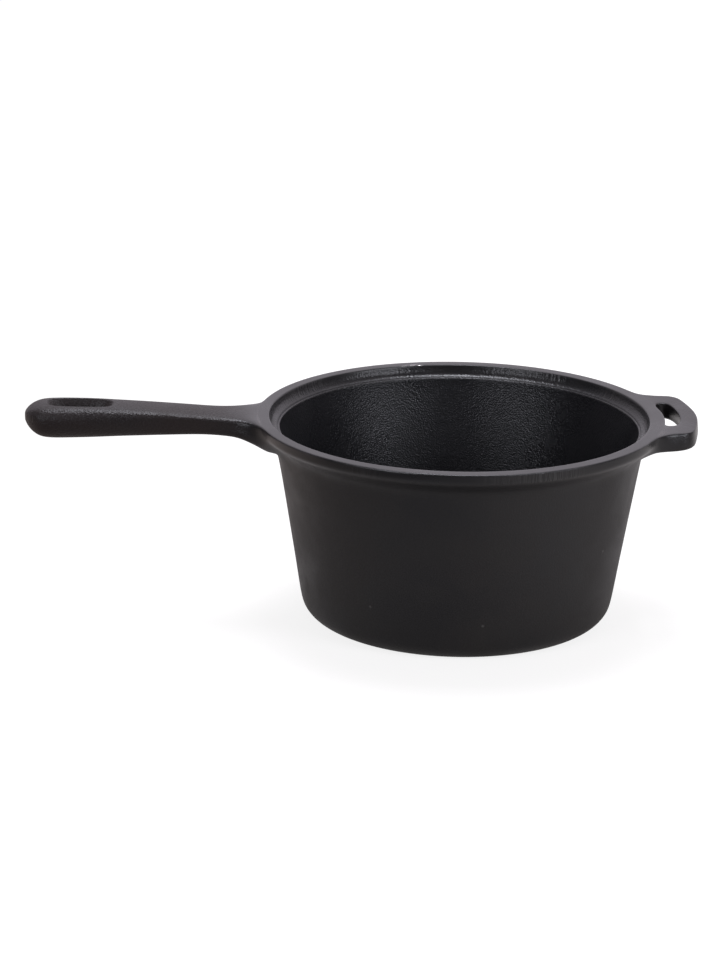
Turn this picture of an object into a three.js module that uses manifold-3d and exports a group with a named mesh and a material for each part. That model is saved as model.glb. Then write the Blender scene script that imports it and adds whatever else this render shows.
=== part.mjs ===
// Deep cast-iron saucepan with a long handle, a helper handle and a lid seat inside its rim.
// Millimetres, +Z up. The origin is the centre of the base's underside.
// The long handle points along -X and the helper handle along +X.
// The pan is one casting, and each mesh here is one region of it.
import * as THREE from 'three';
import { mergeVertices } from 'three/addons/utils/BufferGeometryUtils.js';
import Module from 'manifold-3d';

// Bowl
const BOWL_HEIGHT = 117; // base underside to rim top
const RIM_RADIUS = 115.5; // outside of the rim band
const RIM_OVERHANG = 8.4; // rim band beyond the line of the outer wall, at the rim top
const WALL_TAPER_DEG = 9.4; // outer wall away from upright
const WALL_THICKNESS = 3.6; // square to the wall
const FLOOR_THICKNESS = 5;
const BASE_CORNER_RADIUS = 12.5; // outside, between underside and wall
const FLOOR_FILLET_RADIUS = 9; // inside, between floor and wall

// Rim and lid seat
const RIM_WIDTH = 7.5; // flat top of the rim band, with its rounded edges
const RIM_EDGE_RADIUS = 1.2;
const RIM_BAND_HEIGHT = 5; // upright outside face of the rim band
const RIM_COVE_HEIGHT = 8; // below that face, where the band sweeps back into the wall
const LID_SEAT_DEPTH = 6.4; // rim top down to the ledge
const LID_SEAT_COVE_RADIUS = 2.2;
const LID_SEAT_EDGE_RADIUS = 0.9;

// Long handle, in distances from the rim's outside
const HANDLE_LENGTH = 131.2;
const HANDLE_ROOT_THICKNESS = 11.6;
const ROOT_SWEEP_LENGTH = 15; // the underside's sweep from the root up to the neck
const FLARE_RADIUS = 42; // plan radius of the flared root
const FLARE_LENGTH = 30;
const NECK_DISTANCE = 34.5;
const NECK_WIDTH = 28.4;
const NECK_THICKNESS = 10.9;
const NECK_RISE = 3.3; // neck top above the rim top
const NECK_EDGE_RADIUS = 3.4;
const GRIP_WIDTH = 34.8;
const GRIP_THICKNESS = 16.8;
const GRIP_RISE = 7.3; // grip top above the rim top
const GRIP_EDGE_RADIUS = 6.2;
const GRIP_END_LENGTH = 14; // the rounded end
const GRIP_END_SWEEP_DEG = 82; // how far round the end bends before it closes flat
const GRIP_TIP_RISE = 2; // middle of the tip above the middle of the grip

// Hanging slot in the grip
const HANG_SLOT_LENGTH = 25;
const HANG_SLOT_WIDTH = 11;
const HANG_MOUTH_LENGTH = 36;
const HANG_MOUTH_WIDTH = 14;
const HANG_MOUTH_DEPTH = 4.5;
const HANG_SLOT_END_DISTANCE = 13; // tip of the grip to the mouth

// Helper handle
const HELPER_REACH = 20.2; // beyond the rim's outside
const HELPER_WIDTH = 83;
const HELPER_THICKNESS = 10.4;
const HELPER_RISE = 0.6; // helper top above the rim top
const HELPER_CORNER_RADIUS = 12;
const HELPER_END_RADIUS = 85; // plan curve of its outer edge
const HELPER_ROOT_RADIUS = 6;
const HELPER_EDGE_RADIUS = 2.4;
const HELPER_BAR_WIDTH = 9.8; // outer bar beyond the slot
const HELPER_SLOT_LENGTH = 44;
const HELPER_SLOT_CORNER_RADIUS = 3.2;

// Between the handles and the round rim that they grow out of
const REGION_GAP = 0.3;

// Points nearer than this are one point, and no fillet is smaller than the least one
const SAME_POINT = 0.001;
const LEAST_FILLET = 0.1;

// Facets
const ROUND_SEGMENTS = 64;
const CORNER_STEPS = 5;
const EDGE_STEPS = 3;
const COVE_STEPS = 8;
const ROOT_STATIONS = 12;
const GRIP_STATIONS = 12;
const END_STATIONS = 5;

const wasm = await Module();
wasm.setup();

// Wall lines: radius of the outer and inner wall at a height
const taper = THREE.MathUtils.degToRad(WALL_TAPER_DEG);
const wallSlope = Math.tan(taper);
const outerRadius = (z) => RIM_RADIUS - RIM_OVERHANG - (BOWL_HEIGHT - z) * wallSlope;
const innerRadius = (z) => outerRadius(z) - WALL_THICKNESS / Math.cos(taper);

// A corner between a level floor and the tapered wall takes this much of each, per radius
const tangentPerRadius = Math.tan(Math.PI / 4 - taper / 2);
const arcSpan = Math.PI / 2 - taper;

// Heights and radii where the regions of the bowl meet
const flatBaseRadius = outerRadius(0) - BASE_CORNER_RADIUS * tangentPerRadius;
const flatFloorRadius = innerRadius(FLOOR_THICKNESS) - FLOOR_FILLET_RADIUS * tangentPerRadius;
const floorEdgeRadius = Math.min(flatBaseRadius, flatFloorRadius);
const baseArcTop = BASE_CORNER_RADIUS * (1 - Math.sin(taper));
const floorArcTop = FLOOR_THICKNESS + FLOOR_FILLET_RADIUS * (1 - Math.sin(taper));
const cornerTop = Math.max(baseArcTop, floorArcTop);
const bandBottom = BOWL_HEIGHT - RIM_BAND_HEIGHT;
const wallTop = bandBottom - RIM_COVE_HEIGHT;
const ledgeHeight = BOWL_HEIGHT - LID_SEAT_DEPTH;
const seatTop = Math.max(ledgeHeight + LID_SEAT_COVE_RADIUS, bandBottom);
const stepRadius = RIM_RADIUS - RIM_WIDTH;

const point = (r, z) => new THREE.Vector2(r, z);

// Points of an arc about (r, z), from one angle to another
function arc(r, z, radius, from, to, steps) {
  const curve = new THREE.EllipseCurve(r, z, radius, radius, from, to, to < from);
  return curve.getPoints(steps);
}

// A solid of revolution about Z. The profile runs out, up, in and down.
function turned(profile) {
  const apart = profile.filter((p, i) => i === 0 || p.distanceTo(profile[i - 1]) > SAME_POINT);
  const geometry = new THREE.LatheGeometry(apart, ROUND_SEGMENTS);
  geometry.rotateX(Math.PI / 2);
  return geometry;
}

// A skin over rings of points, closed at both ends.
// Each ring turns right-handed about the direction in which the rings advance.
function lofted(rings) {
  const count = rings[0].length;
  const positions = rings.flat().flatMap((p) => [p.x, p.y, p.z]);
  const index = [];
  for (let k = 0; k + 1 < rings.length; k += 1) {
    for (let i = 0; i < count; i += 1) {
      const next = (i + 1) % count;
      const a = k * count + i;
      const b = k * count + next;
      index.push(a, b, a + count, b, b + count, a + count);
    }
  }
  const last = (rings.length - 1) * count;
  for (let i = 1; i + 1 < count; i += 1) {
    index.push(0, i + 1, i);
    index.push(last, last + i, last + i + 1);
  }
  const geometry = new THREE.BufferGeometry();
  geometry.setAttribute('position', new THREE.Float32BufferAttribute(positions, 3));
  geometry.setIndex(index);
  return geometry;
}

// Joining and cutting
function toSolid(geometry) {
  const bare = geometry.clone();
  bare.deleteAttribute('normal');
  bare.deleteAttribute('uv');
  const merged = mergeVertices(bare, SAME_POINT);
  const vertProperties = new Float32Array(merged.attributes.position.array);
  const triVerts = new Uint32Array(merged.index.array);
  return new wasm.Manifold(new wasm.Mesh({ numProp: 3, vertProperties, triVerts }));
}

function toGeometry(solid) {
  const mesh = solid.getMesh();
  const geometry = new THREE.BufferGeometry();
  geometry.setAttribute('position', new THREE.BufferAttribute(mesh.vertProperties, 3));
  geometry.setIndex(new THREE.BufferAttribute(mesh.triVerts, 1));
  return geometry;
}

const cut = (geometry, tool) => toGeometry(toSolid(geometry).subtract(toSolid(tool)));

// Floor: the flat disc inside the rounded base corner
function panFloor() {
  return turned([
    point(0, 0),
    point(floorEdgeRadius, 0),
    point(floorEdgeRadius, FLOOR_THICKNESS),
    point(0, FLOOR_THICKNESS),
  ]);
}

// Base corner: rounded outside, filleted inside
function baseCorner() {
  const straightDown = -Math.PI / 2;
  const alongWall = straightDown + arcSpan;
  const filletHeight = FLOOR_THICKNESS + FLOOR_FILLET_RADIUS;
  const outside = arc(
    flatBaseRadius, BASE_CORNER_RADIUS, BASE_CORNER_RADIUS,
    straightDown, alongWall, CORNER_STEPS,
  );
  const inside = arc(
    flatFloorRadius, filletHeight, FLOOR_FILLET_RADIUS,
    alongWall, straightDown, CORNER_STEPS,
  );
  return turned([
    point(floorEdgeRadius, 0),
    ...outside,
    point(outerRadius(cornerTop), cornerTop),
    point(innerRadius(cornerTop), cornerTop),
    ...inside,
    point(floorEdgeRadius, FLOOR_THICKNESS),
    point(floorEdgeRadius, 0),
  ]);
}

// Side wall: a plain tapered ring
function sideWall() {
  return turned([
    point(innerRadius(cornerTop), cornerTop),
    point(outerRadius(cornerTop), cornerTop),
    point(outerRadius(wallTop), wallTop),
    point(innerRadius(wallTop), wallTop),
    point(innerRadius(cornerTop), cornerTop),
  ]);
}

// The sweep from the wall out to the rim band's upright face
function rimCove() {
  const pull = RIM_COVE_HEIGHT / 2;
  const curve = new THREE.CubicBezierCurve(
    point(outerRadius(wallTop), wallTop),
    point(outerRadius(wallTop + pull), wallTop + pull),
    point(RIM_RADIUS, bandBottom - pull),
    point(RIM_RADIUS, bandBottom),
  );
  return curve.getPoints(COVE_STEPS);
}

// Lid seat: the ledge inside and the sweep of the rim band outside
function lidSeat() {
  const foot = arc(
    stepRadius - LID_SEAT_COVE_RADIUS, ledgeHeight + LID_SEAT_COVE_RADIUS, LID_SEAT_COVE_RADIUS,
    0, -Math.PI / 2, EDGE_STEPS,
  );
  const edgeHeight = ledgeHeight - LID_SEAT_EDGE_RADIUS;
  const edge = arc(
    innerRadius(edgeHeight) + LID_SEAT_EDGE_RADIUS, edgeHeight, LID_SEAT_EDGE_RADIUS,
    Math.PI / 2, Math.PI, EDGE_STEPS,
  );
  return turned([
    point(innerRadius(wallTop), wallTop),
    ...rimCove(),
    point(RIM_RADIUS, seatTop),
    point(stepRadius, seatTop),
    ...foot,
    ...edge,
    point(innerRadius(wallTop), wallTop),
  ]);
}

// Rim band: the ring round the lid seat, with rounded top edges
function rimBand() {
  const edgeHeight = BOWL_HEIGHT - RIM_EDGE_RADIUS;
  const outerCentre = RIM_RADIUS - RIM_EDGE_RADIUS;
  const innerCentre = stepRadius + RIM_EDGE_RADIUS;
  const outside = arc(outerCentre, edgeHeight, RIM_EDGE_RADIUS, 0, Math.PI / 2, EDGE_STEPS);
  const inside = arc(innerCentre, edgeHeight, RIM_EDGE_RADIUS, Math.PI / 2, Math.PI, EDGE_STEPS);
  return turned([
    point(stepRadius, seatTop),
    point(RIM_RADIUS, seatTop),
    ...outside,
    ...inside,
    point(stepRadius, seatTop),
  ]);
}

// The room that the bowl takes up, with the gap that the handles keep to it
function bowlRoom() {
  const outside = [point(outerRadius(0), 0), ...rimCove()];
  const moved = outside.map((p) => point(p.x + REGION_GAP, p.y - REGION_GAP));
  const roomTop = BOWL_HEIGHT + GRIP_RISE + GRIP_THICKNESS;
  return turned([
    point(0, -REGION_GAP),
    ...moved,
    point(RIM_RADIUS + REGION_GAP, roomTop),
    point(0, roomTop),
  ]);
}

// Long handle: half width, top and bottom at a distance from the bowl's axis
const neckAt = RIM_RADIUS + NECK_DISTANCE;
const tipAt = RIM_RADIUS + HANDLE_LENGTH;
const endSweep = THREE.MathUtils.degToRad(GRIP_END_SWEEP_DEG);
const endAt = tipAt - GRIP_END_LENGTH * Math.sin(endSweep);
const { lerp, smoothstep, clamp } = THREE.MathUtils;

function handleSize(s) {
  const alongRoot = clamp((s - RIM_RADIUS) / NECK_DISTANCE, 0, 1);
  const alongGrip = clamp((s - neckAt) / (endAt - neckAt), 0, 1);
  const swell = smoothstep(alongGrip, 0, 1);
  const flareAt = clamp(RIM_RADIUS + FLARE_LENGTH - s, 0, FLARE_RADIUS);
  const flare = FLARE_RADIUS - Math.sqrt(FLARE_RADIUS ** 2 - flareAt ** 2);
  const sweep = smoothstep(s, RIM_RADIUS - RIM_WIDTH / 2, RIM_RADIUS + ROOT_SWEEP_LENGTH);
  const neckBottom = BOWL_HEIGHT + NECK_RISE - NECK_THICKNESS;
  const gripBottom = BOWL_HEIGHT + GRIP_RISE - GRIP_THICKNESS;
  const rootBottom = BOWL_HEIGHT - HANDLE_ROOT_THICKNESS;
  return {
    halfWidth: lerp(NECK_WIDTH, GRIP_WIDTH, swell) / 2 + flare,
    top: BOWL_HEIGHT + lerp(NECK_RISE * alongRoot, GRIP_RISE, Math.sin((Math.PI / 2) * alongGrip)),
    bottom: lerp(lerp(rootBottom, neckBottom, sweep), gripBottom, alongGrip),
    edge: lerp(NECK_EDGE_RADIUS, GRIP_EDGE_RADIUS, swell),
  };
}

// One rounded section across the handle, drawn in by a share towards its rounded end
function handleSection(s, share) {
  const { halfWidth, top, bottom, edge } = handleSize(Math.min(s, endAt));
  const middle = (top + bottom) / 2 + GRIP_TIP_RISE * (1 - share);
  const across = halfWidth * share;
  const up = ((top - bottom) / 2) * share;
  const radius = Math.min(edge * share, up, across);
  const ring = [];
  for (let corner = 0; corner < 4; corner += 1) {
    const side = corner < 2 ? 1 : -1;
    const level = corner === 0 || corner === 3 ? 1 : -1;
    for (let step = 0; step <= EDGE_STEPS; step += 1) {
      const angle = (Math.PI / 2) * (1 - corner - step / EDGE_STEPS);
      const y = side * (across - radius) + radius * Math.cos(angle);
      const z = middle + level * (up - radius) + radius * Math.sin(angle);
      ring.push(new THREE.Vector3(-s, y, z));
    }
  }
  return ring;
}

// Root and neck: flared into the rim
function handleNeck() {
  const start = stepRadius - WALL_THICKNESS;
  const rings = [];
  for (let i = 0; i <= ROOT_STATIONS; i += 1) {
    rings.push(handleSection(lerp(start, neckAt, i / ROOT_STATIONS), 1));
  }
  return cut(lofted(rings), bowlRoom());
}

// A ring round the hanging slot, with round ends, at a height
function slotRing(length, width, z) {
  const middle = -(tipAt - HANG_SLOT_END_DISTANCE - HANG_MOUTH_LENGTH / 2);
  const half = Math.max(length - width, 0) / 2;
  const shape = new THREE.Path();
  shape.absarc(middle + half, 0, width / 2, -Math.PI / 2, Math.PI / 2);
  shape.absarc(middle - half, 0, width / 2, Math.PI / 2, (3 * Math.PI) / 2);
  return shape.getPoints(COVE_STEPS).map((p) => new THREE.Vector3(p.x, p.y, z));
}

// Grip: swells from the neck to a round end, with a dished hanging slot through it
function handleGrip() {
  const rings = [];
  for (let i = 0; i <= GRIP_STATIONS; i += 1) {
    rings.push(handleSection(lerp(neckAt, endAt, i / GRIP_STATIONS), 1));
  }
  for (let i = 1; i <= END_STATIONS; i += 1) {
    const angle = endSweep * (i / END_STATIONS);
    rings.push(handleSection(endAt + GRIP_END_LENGTH * Math.sin(angle), Math.cos(angle)));
  }
  const { top, bottom } = handleSize(tipAt - HANG_SLOT_END_DISTANCE - HANG_MOUTH_LENGTH / 2);
  const slot = lofted([
    slotRing(HANG_MOUTH_LENGTH, HANG_MOUTH_WIDTH, bottom - GRIP_RISE),
    slotRing(HANG_MOUTH_LENGTH, HANG_MOUTH_WIDTH, bottom),
    slotRing(HANG_SLOT_LENGTH, HANG_SLOT_WIDTH, bottom + HANG_MOUTH_DEPTH),
    slotRing(HANG_SLOT_LENGTH, HANG_SLOT_WIDTH, top - HANG_MOUTH_DEPTH),
    slotRing(HANG_MOUTH_LENGTH, HANG_MOUTH_WIDTH, top),
    slotRing(HANG_MOUTH_LENGTH, HANG_MOUTH_WIDTH, top + GRIP_RISE),
  ]);
  return cut(lofted(rings), slot);
}

// Helper handle: a flat loop whose slot lies against the rim
function helperHandle() {
  const half = HELPER_WIDTH / 2;
  const endAtX = RIM_RADIUS + HELPER_REACH;
  const endCentre = endAtX - HELPER_END_RADIUS;
  const corner = Math.min(HELPER_CORNER_RADIUS, half, HELPER_REACH);
  const cornerY = half - corner;
  const cornerX = endCentre + Math.sqrt((HELPER_END_RADIUS - corner) ** 2 - cornerY ** 2);
  const cornerAngle = Math.atan2(cornerY, cornerX - endCentre);
  const rootRoom = (cornerX ** 2 - RIM_RADIUS ** 2 + half ** 2) / (2 * (RIM_RADIUS - half));
  const root = clamp(rootRoom, LEAST_FILLET, HELPER_ROOT_RADIUS);
  const rootX = Math.sqrt((RIM_RADIUS + root) ** 2 - (half + root) ** 2);
  const rootAngle = Math.atan2(half + root, rootX);
  const outline = new THREE.Shape();
  outline.moveTo(stepRadius * Math.cos(rootAngle), -stepRadius * Math.sin(rootAngle));
  outline.lineTo(RIM_RADIUS * Math.cos(rootAngle), -RIM_RADIUS * Math.sin(rootAngle));
  outline.absarc(rootX, -half - root, root, Math.PI - rootAngle, Math.PI / 2, true);
  outline.absarc(cornerX, -cornerY, corner, -Math.PI / 2, -cornerAngle);
  outline.absarc(endCentre, 0, HELPER_END_RADIUS, -cornerAngle, cornerAngle);
  outline.absarc(cornerX, cornerY, corner, cornerAngle, Math.PI / 2);
  outline.absarc(rootX, half + root, root, -Math.PI / 2, rootAngle - Math.PI, true);
  outline.lineTo(stepRadius * Math.cos(rootAngle), stepRadius * Math.sin(rootAngle));
  const tab = new THREE.ExtrudeGeometry(outline, {
    depth: HELPER_THICKNESS - 2 * HELPER_EDGE_RADIUS,
    curveSegments: CORNER_STEPS,
    bevelSegments: EDGE_STEPS,
    bevelSize: HELPER_EDGE_RADIUS,
    bevelThickness: HELPER_EDGE_RADIUS,
    bevelOffset: -HELPER_EDGE_RADIUS,
  });
  const helperTop = BOWL_HEIGHT + HELPER_RISE;
  tab.translate(0, 0, helperTop - HELPER_THICKNESS + HELPER_EDGE_RADIUS);

  const slotHalf = HELPER_SLOT_LENGTH / 2;
  const barRadius = HELPER_END_RADIUS - HELPER_BAR_WIDTH;
  const slotCorner = Math.min(HELPER_SLOT_CORNER_RADIUS, slotHalf);
  const slotY = slotHalf - slotCorner;
  const slotX = endCentre + Math.sqrt((barRadius - slotCorner) ** 2 - slotY ** 2);
  const slotAngle = Math.atan2(slotY, slotX - endCentre);
  const cutterReach = HELPER_THICKNESS; // past the helper's top and bottom
  const gap = new THREE.Shape();
  gap.moveTo(0, -slotHalf);
  gap.absarc(slotX, -slotY, slotCorner, -Math.PI / 2, -slotAngle);
  gap.absarc(endCentre, 0, barRadius, -slotAngle, slotAngle);
  gap.absarc(slotX, slotY, slotCorner, slotAngle, Math.PI / 2);
  gap.lineTo(0, slotHalf);
  const slot = new THREE.ExtrudeGeometry(gap, {
    depth: HELPER_THICKNESS + 2 * cutterReach,
    curveSegments: CORNER_STEPS,
    bevelEnabled: false,
  });
  slot.translate(0, 0, helperTop - HELPER_THICKNESS - cutterReach);
  return cut(cut(tab, slot), bowlRoom());
}

// Cast iron, with the inside of the bowl darker and the worked edges paler
const iron = (color, roughness) => new THREE.MeshStandardMaterial({ color, roughness, metalness: 0.6 });

const pan = new THREE.Group();

function place(name, geometry, material) {
  const mesh = new THREE.Mesh(geometry, material);
  mesh.name = name;
  pan.add(mesh);
}

place('pan_floor', panFloor(), iron(0x232324, 0.55));
place('base_corner', baseCorner(), iron(0x29292a, 0.55));
place('side_wall', sideWall(), iron(0x29292a, 0.55));
place('lid_seat', lidSeat(), iron(0x323235, 0.5));
place('rim_band', rimBand(), iron(0x38383b, 0.45));
place('handle_neck', handleNeck(), iron(0x2d2c2d, 0.6));
place('handle_grip', handleGrip(), iron(0x2d2c2d, 0.6));
place('helper_handle', helperHandle(), iron(0x303033, 0.55));

export default pan;
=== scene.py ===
# %% [markdown]
# # A deep cast-iron saucepan
# The pan is one iron casting: a tapered bowl with a lid seat inside its rim, a long handle with a
# hanging slot and a short helper handle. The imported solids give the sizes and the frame. Here the
# casting gets the soft fillets, rounded edges and sand-cast skin that a foundry gives it.

# %% Load the frame
import math

import bmesh
import bpy
from mathutils import Matrix, Vector


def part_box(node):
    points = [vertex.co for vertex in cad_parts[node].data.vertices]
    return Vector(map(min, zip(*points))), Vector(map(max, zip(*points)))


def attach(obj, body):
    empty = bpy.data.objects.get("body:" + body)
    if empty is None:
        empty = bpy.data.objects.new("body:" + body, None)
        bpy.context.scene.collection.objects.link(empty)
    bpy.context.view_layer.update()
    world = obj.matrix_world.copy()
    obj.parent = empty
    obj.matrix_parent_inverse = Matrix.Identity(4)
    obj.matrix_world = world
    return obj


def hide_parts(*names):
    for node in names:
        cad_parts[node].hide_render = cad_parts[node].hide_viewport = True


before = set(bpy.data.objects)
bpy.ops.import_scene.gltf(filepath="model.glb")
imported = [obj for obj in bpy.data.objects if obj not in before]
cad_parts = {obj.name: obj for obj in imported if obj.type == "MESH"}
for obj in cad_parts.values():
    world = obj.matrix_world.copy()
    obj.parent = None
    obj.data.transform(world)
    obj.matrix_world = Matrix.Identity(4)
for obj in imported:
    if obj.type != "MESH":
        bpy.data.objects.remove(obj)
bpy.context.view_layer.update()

scene = bpy.context.scene
MM = 0.001
print("solids:", sorted(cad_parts))

# %% [markdown]
# ## Sizes
# Every size that the solids hold is read from their boxes, so the casting follows them when they
# change. A box can't tell the wall's thickness or the width of the lid seat, so these are written
# here as the real sizes.

# %% Sizes of the bowl and the rim
corner_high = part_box("base_corner")[1]
wall_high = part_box("side_wall")[1]
floor_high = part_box("pan_floor")[1]
rim_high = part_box("rim_band")[1]
rim_radius = rim_high.x
RIM_CROWN = 0.3 * MM
rim_top = rim_high.z + RIM_CROWN
wall_slope = (wall_high.x - corner_high.x) / (wall_high.z - corner_high.z)
wall_lean = math.atan(wall_slope)
WALL_THICKNESS = 3.6 * MM
RIM_WIDTH = 7.4 * MM
LID_SEAT_DEPTH = 6.4 * MM


def outer_radius(height):
    return wall_high.x - (wall_high.z - height) * wall_slope


def inner_radius(height):
    return outer_radius(height) - WALL_THICKNESS / math.cos(wall_lean)


print(f"rim {2 * rim_radius / MM:.1f} mm across, {rim_top / MM:.1f} mm high")
print(f"wall leans out {math.degrees(wall_lean):.1f} degrees")

# %% [markdown]
# ## The turned shape of the bowl
# A foundry pattern for a round pan is turned, and so is this one: half of the wall's section, from
# the middle of the underside round to the middle of the floor, is drawn once and spun about the
# upright axis. It is a coarse cage, and Subdivision Surface rounds it later, so a corner gets two
# points for a tight edge and one point for a soft one. The rounding pulls an arc inwards a little,
# so the points of an arc start a little too far out.

# %% Start the section
section = []
row = {}
ARC_STEPS = 4


def section_point(name, radius, height):
    row[name] = len(section)
    section.append((radius, height))


def wall_point(name, side_radius, height):
    section_point(name, side_radius(height), height)


def round_out(step_angle):
    return 3 / (2 + math.cos(step_angle))


def section_arc(name, middle, height, radius, start, end):
    step_angle = (end - start) / ARC_STEPS
    drawn = radius * round_out(step_angle)
    for step in range(ARC_STEPS + 1):
        angle = start + step_angle * step
        section_point(name, middle + drawn * math.cos(angle), height + drawn * math.sin(angle))


# %% Draw the outside of the section
BASE_CORNER_RADIUS = 12.5 * MM
RIM_EDGE = 0.45 * MM
TOP_INSET = 1.8 * MM
DOWN = -math.pi / 2
WALL_HEIGHTS = (30 * MM, 55 * MM, 80 * MM)
RIDGE_HEIGHT = 103 * MM
RIDGE_SWELL = 0.5 * MM
flat_radius = floor_high.x
section_point("base_middle", 0, 0)
section_point("base", flat_radius * 0.5, 0)
section_point("base_edge", flat_radius * 0.9, 0)
section_arc("base_corner", flat_radius, BASE_CORNER_RADIUS, BASE_CORNER_RADIUS, DOWN, -wall_lean)
for height in WALL_HEIGHTS:
    wall_point("wall", outer_radius, height)
wall_point("wall_top", outer_radius, 95 * MM)
wall_point("ridge_foot", outer_radius, 100 * MM)
section_point("ridge", outer_radius(RIDGE_HEIGHT) + RIDGE_SWELL, RIDGE_HEIGHT)
section_point("cove", rim_radius - 8.3 * MM, rim_top - 11.9 * MM)
section_point("cove_top", rim_radius - 4.9 * MM, rim_top - 9.3 * MM)
section_point("underside", rim_radius - 1.5 * MM, rim_top - 6.8 * MM)
section_point("band_foot", rim_radius, rim_top - 4.8 * MM)
section_point("band", rim_radius, rim_top - 2.4 * MM)
section_point("band_edge", rim_radius, rim_top - RIM_EDGE)
section_point("top_edge", rim_radius - RIM_EDGE, rim_top)
section_point("top_outer", rim_radius - TOP_INSET, rim_top)
print(len(section), "points on the outside")

# %% Draw the inside of the section
FLOOR_FILLET_RADIUS = 9 * MM
LIP_OVERHANG = 0.35 * MM
floor_top = floor_high.z
step_radius = rim_radius - RIM_WIDTH
seat_height = rim_top - LID_SEAT_DEPTH
lip_radius = inner_radius(seat_height) - LIP_OVERHANG
section_point("top_inner", step_radius + TOP_INSET, rim_top)
section_point("step_edge", step_radius + RIM_EDGE, rim_top)
section_point("step_side", step_radius, rim_top - RIM_EDGE)
section_point("step", step_radius - 0.2 * MM, seat_height + 4.1 * MM)
section_point("seat_cove", step_radius - 0.9 * MM, seat_height + 2 * MM)
section_point("seat_foot", step_radius - 2.2 * MM, seat_height + 0.55 * MM)
section_point("seat", step_radius - 3.4 * MM, seat_height)
section_point("groove", lip_radius + 1.6 * MM, seat_height - 0.15 * MM)
section_point("lip_outer", lip_radius + 1.1 * MM, seat_height + 0.05 * MM)
section_point("lip_top", lip_radius + 0.5 * MM, seat_height + 0.05 * MM)
section_point("lip", lip_radius, seat_height - 0.5 * MM)
wall_point("inside_lip", inner_radius, 108.3 * MM)
wall_point("inside_top", inner_radius, 98 * MM)
for height in reversed(WALL_HEIGHTS):
    wall_point("inside_wall", inner_radius, height)
section_arc("floor_fillet", flat_radius, floor_top + FLOOR_FILLET_RADIUS, FLOOR_FILLET_RADIUS,
            -wall_lean, DOWN)
section_point("floor", flat_radius * 0.75, floor_top)
section_point("floor_inner", flat_radius * 0.4, floor_top)
section_point("floor_middle", 0, floor_top)
print(len(section), "points in the whole section")

# %% Spin the section into the bowl
COLUMNS = 64
SAME_POINT = 0.01 * MM
column_angle = 2 * math.pi / COLUMNS
casting = bmesh.new()
row_layer = casting.verts.layers.int.new("row")
column_layer = casting.verts.layers.int.new("column")
inside_layer = casting.verts.layers.float.new("inside")
wear_layer = casting.verts.layers.float.new("wear")
grip_layer = casting.verts.layers.float.new("grip")
crease_layer = casting.edges.layers.float.new("crease_edge")
region_layer = casting.faces.layers.int.new("region")

points = [casting.verts.new((radius, 0, max(height, 0))) for radius, height in section]
for number, vert in enumerate(points):
    vert[row_layer] = number
lines = [casting.edges.new(pair) for pair in zip(points, points[1:])]
bmesh.ops.spin(casting, geom=points + lines, cent=(0, 0, 0), axis=(0, 0, 1),
               angle=2 * math.pi, steps=COLUMNS, use_merge=True)
bmesh.ops.remove_doubles(casting, verts=casting.verts, dist=SAME_POINT)
bmesh.ops.recalc_face_normals(casting, faces=casting.faces)
roundness = round_out(column_angle)
bmesh.ops.scale(casting, verts=casting.verts, vec=(roundness, roundness, 1))
for vert in casting.verts:
    vert[column_layer] = round(math.atan2(vert.co.y, vert.co.x) / column_angle) % COLUMNS
print(len(casting.faces), "faces in the turned cage")

# %% [markdown]
# The inside of the mould is a core of its own. It never sits quite in the middle and is never quite
# round: on this pan the ledge lies half a millimetre towards the long handle, and the rim's top is
# half a millimetre wider halfway between the handles.

# %% Shift the core
CORE_SHIFT = 0.5 * MM
CORE_SQUEEZE = 0.994
core = [vert for vert in casting.verts if vert[row_layer] >= row["step_edge"]]
bmesh.ops.translate(casting, verts=core, vec=(-CORE_SHIFT, 0, 0))
bmesh.ops.scale(casting, verts=core, vec=(1, CORE_SQUEEZE, 1))
print(len(core), "points on the core")

# %% [markdown]
# ## Marks for the finishes
# Three numbers ride along on every point of the cage, and the rounding blends them: how far a point
# belongs to the pebbled inside, how far it lies out on a handle, and how much an edge there gets worn.
# The rows of the section already know where the edges are, so nothing is painted by hand.

# %% Name the regions and mark the rows
BOWL, RIM, HANDLE, HELPER = range(4)
RIM_WEAR = 0.55
LIP_WEAR = 0.35
SEAT_PEBBLES = 0.35
for face in casting.faces:
    rows = [vert[row_layer] for vert in face.verts]
    in_rim = min(rows) >= row["ridge"] and max(rows) <= row["lip"]
    face[region_layer] = RIM if in_rim else BOWL
rim_edges = {row[name] for name in ("band_edge", "top_edge", "step_edge")}
lip_edges = {row[name] for name in ("lip_outer", "lip_top", "lip")}
for vert in casting.verts:
    number = vert[row_layer]
    if number >= row["lip"]:
        vert[inside_layer] = 1
    elif number >= row["step"]:
        vert[inside_layer] = SEAT_PEBBLES
    if number in rim_edges:
        vert[wear_layer] = RIM_WEAR
    elif number in lip_edges:
        vert[wear_layer] = LIP_WEAR
print(sum(vert[inside_layer] == 1 for vert in casting.verts), "points inside")

# %% [markdown]
# ## Growing the handles out of the rim
# On a casting, a handle isn't a separate bar that is stuck on: its skin runs on from the rim's. So
# faces of the rim band are pushed out again and again, as with Extrude in the editor. Each push
# gives a new ring of points, and a small function puts the points of a ring where they belong.

# %% Push faces out
band_rows = [row[name] for name in ("underside", "band_foot", "band", "band_edge", "top_edge")]
UNDER, FOOT, SIDE, EDGE, TOP = band_rows


def band_faces(columns):
    found = []
    for face in casting.faces:
        in_band = all(UNDER <= vert[row_layer] <= TOP for vert in face.verts)
        if in_band and all(vert[column_layer] in columns for vert in face.verts):
            found.append(face)
    return found


def points_in(parts):
    return [part for part in parts if isinstance(part, bmesh.types.BMVert)]


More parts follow.
